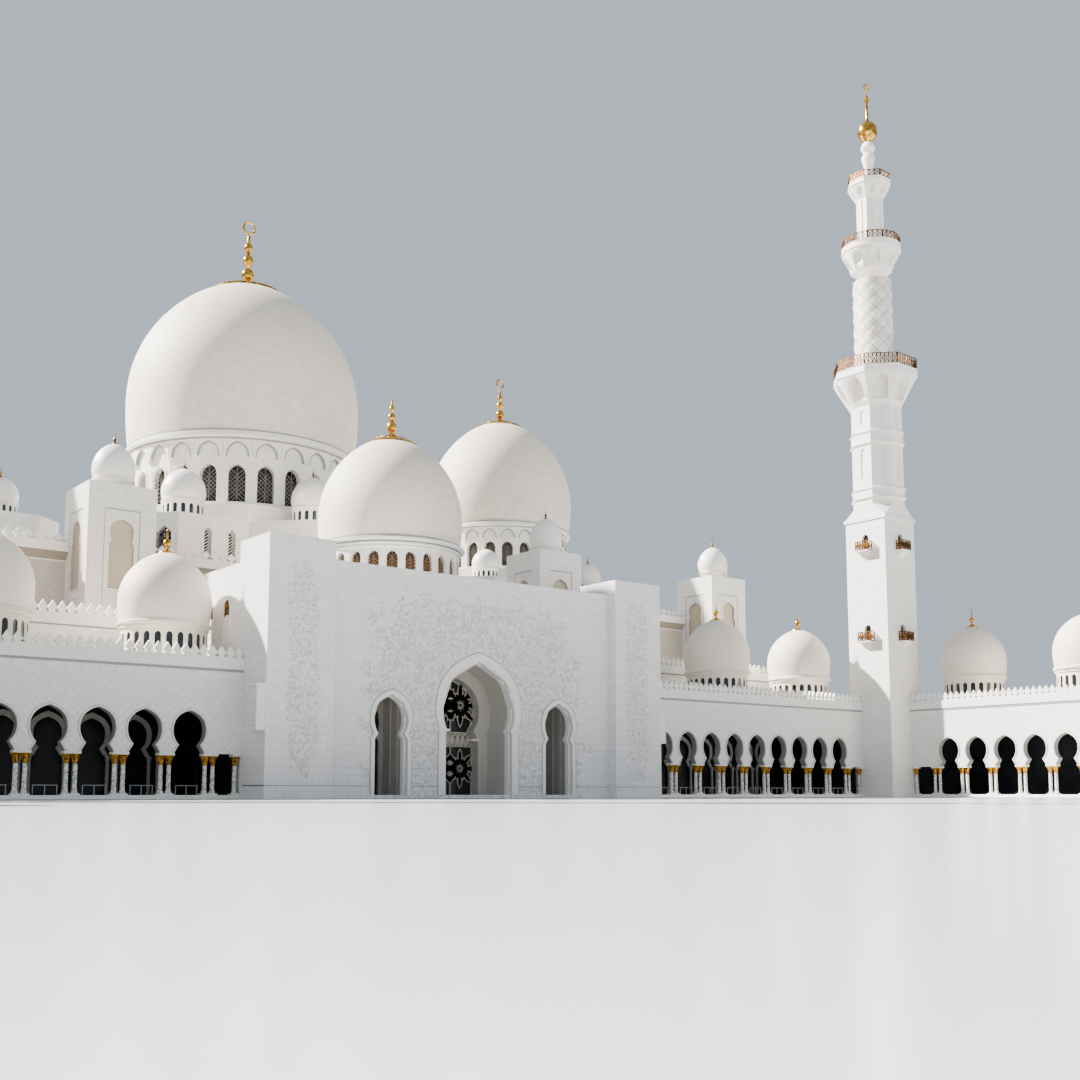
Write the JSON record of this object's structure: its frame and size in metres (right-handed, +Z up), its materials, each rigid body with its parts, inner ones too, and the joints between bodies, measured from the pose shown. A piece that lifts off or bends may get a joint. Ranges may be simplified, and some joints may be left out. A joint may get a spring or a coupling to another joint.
{
  "type": "mosque building, 1:10 scale model",
  "caption": "White marble mosque wing with great bulbous domes, a tall arched portal, column arcades, crested roofs and slender minarets with gold finials, 1:10 scale.",
  "frame": {"origin": "on the ground, in the middle of the footprint", "axes": "+X to the right seen from the courtyard, along the front; +Y into the building, away from the courtyard; +Z up"},
  "size_m": [17.65, 11.8116, 10.707],
  "materials": {
    "marble": "honed white marble",
    "dark_glass": "dark glazing behind pale lattice",
    "gold": "polished gold leaf"
  },
  "bodies": {
    "root": {"portal_block": "marble", "portal_porch": "marble", "entrance_dome": "marble", "prayer_hall_walls": "marble", "prayer_hall_roof": "marble", "main_dome": "marble", "side_dome_left": "marble", "side_dome_right": "marble", "gallery_left": "marble", "gallery_right": "marble", "arcade_wall_left": "marble", "arcade_columns_left": "marble", "arcade_roof_left": "marble", "arcade_wall_right": "marble", "arcade_columns_right": "marble", "arcade_roof_right": "marble", "court_arcade_wall_left": "marble", "court_arcade_columns_left": "marble", "court_arcade_roof_left": "marble", "court_arcade_outer_wall_left": "marble", "court_arcade_outer_wall_right": "marble", "court_arcade_wall_right": "marble", "court_arcade_columns_right": "marble", "court_arcade_roof_right": "marble", "minaret_left": "marble", "minaret_right": "marble", "portal_screen": "dark_glass", "entrance_dome_glass": "dark_glass", "main_tier_glass": "dark_glass", "main_dome_glass": "dark_glass", "side_dome_glass_left": "dark_glass", "side_dome_glass_right": "dark_glass", "entrance_finial": "gold", "main_finial": "gold", "side_finial_left": "gold", "side_finial_right": "gold", "arcade_finial_left_1": "gold", "arcade_finial_left_2": "gold", "arcade_finial_left_3": "gold", "arcade_finial_right_1": "gold", "arcade_finial_right_2": "gold", "arcade_finial_right_3": "gold", "court_finial_left_1": "gold", "court_finial_left_2": "gold", "court_finial_right_1": "gold", "court_finial_right_2": "gold", "minaret_crown_left": "gold", "minaret_crown_right": "gold"}
  },
  "joints": []
}
